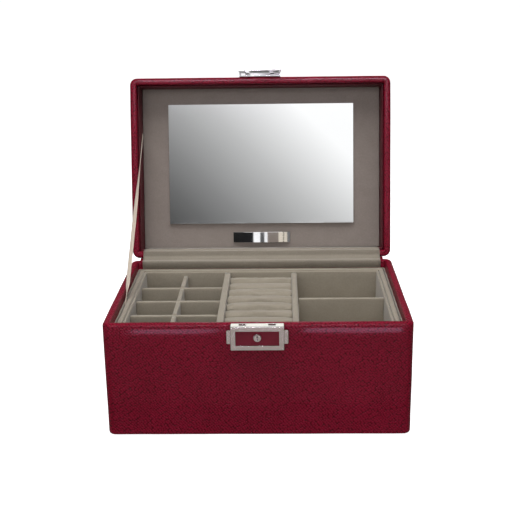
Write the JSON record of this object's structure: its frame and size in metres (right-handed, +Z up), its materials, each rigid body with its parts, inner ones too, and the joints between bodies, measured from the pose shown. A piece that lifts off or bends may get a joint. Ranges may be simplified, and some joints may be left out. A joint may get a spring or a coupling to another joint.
{
  "type": "jewellery case",
  "caption": "Leather-covered jewellery case with a mirrored lid, a lift-out tray of compartments and ring rolls, and a squeeze clasp with a key cylinder.",
  "frame": {"origin": "middle of the underside, on the felt's lower face", "axes": "+Z up, +X to the right seen from the front, -Y towards the front; the lid stands open towards +Y"},
  "size_m": [0.26, 0.2687, 0.2856],
  "materials": {
    "leather": "glossy small-scale embossed crimson",
    "suede": "matt taupe suede",
    "board": "raw fibreboard",
    "foam": "covered foam",
    "felt": "dark felt",
    "mirror_glass": "bevelled mirror",
    "chrome": "polished",
    "nickel": "satin nickel",
    "steel": "plain",
    "ribbon": "satin ribbon"
  },
  "bodies": {
    "base": {"base_board_bottom": "board", "base_board_front": "board", "base_board_back": "board", "base_board_left": "board", "base_board_right": "board", "base_leather": "leather", "base_felt": "felt", "base_floor_lining": "suede", "base_side_lining": "suede", "tray_ledge_left": "suede", "tray_ledge_right": "suede", "hinge_leather": "leather", "hinge_lining": "suede", "ribbon_stay": "ribbon", "lock_case": "nickel", "lock_back_plate": "steel", "lock_inlay": "leather", "spring_left": "steel", "spring_right": "steel"},
    "lid": {"lid_board_top": "board", "lid_board_front": "board", "lid_board_back": "board", "lid_board_left": "board", "lid_board_right": "board", "lid_leather": "leather", "lid_side_lining": "leather", "lid_panel": "suede", "mirror": "mirror_glass", "nameplate": "chrome", "catch_plate": "chrome", "hook_left": "chrome", "hook_right": "chrome"},
    "tray": {"tray_floor": "suede", "tray_wall_front": "suede", "tray_wall_back": "suede", "tray_wall_left": "suede", "tray_wall_right": "suede", "tray_lining": "suede", "divider_thick_left": "suede", "divider_thick_right": "suede", "divider_left_long": "suede", "divider_left_cross_1": "suede", "divider_left_cross_2": "suede", "divider_left_cross_3": "suede", "divider_right_cross": "suede", "ring_bed": "foam", "ring_roll_1": "suede", "ring_roll_2": "suede", "ring_roll_3": "suede", "ring_roll_4": "suede", "ring_roll_5": "suede", "ring_roll_6": "suede", "ring_roll_7": "suede", "ring_roll_8": "suede"},
    "left_button": {"button_left": "nickel"},
    "right_button": {"button_right": "nickel"},
    "key": {"key_cylinder": "nickel"}
  },
  "joints": [
    {"name": "lid_hinge", "type": "hinge", "parent": "base", "child": "lid", "pos_m": [0, 0.09075, 0.1028], "axis": [-1, 0, 0], "range_deg": [-103.3, 0], "deforming": ["hinge_leather", "hinge_lining", "ribbon_stay"]},
    {"name": "tray_lift", "type": "slide", "parent": "base", "child": "tray", "axis": [0, 0, 1], "range_m": [0, 0.06]},
    {"name": "left_button_press", "type": "slide", "parent": "base", "child": "left_button", "axis": [1, 0, 0], "range_m": [0, 0.0022], "stiffness_N_per_m": 800, "springref_m": -0.001, "deforming": ["spring_left"]},
    {"name": "right_button_press", "type": "slide", "parent": "base", "child": "right_button", "axis": [-1, 0, 0], "range_m": [0, 0.0022], "stiffness_N_per_m": 800, "springref_m": -0.001, "deforming": ["spring_right"]},
    {"name": "key_turn", "type": "hinge", "parent": "base", "child": "key", "pos_m": [0, -0.0988, 0.0924], "axis": [0, 1, 0], "range_deg": [0, 90]}
  ]
}
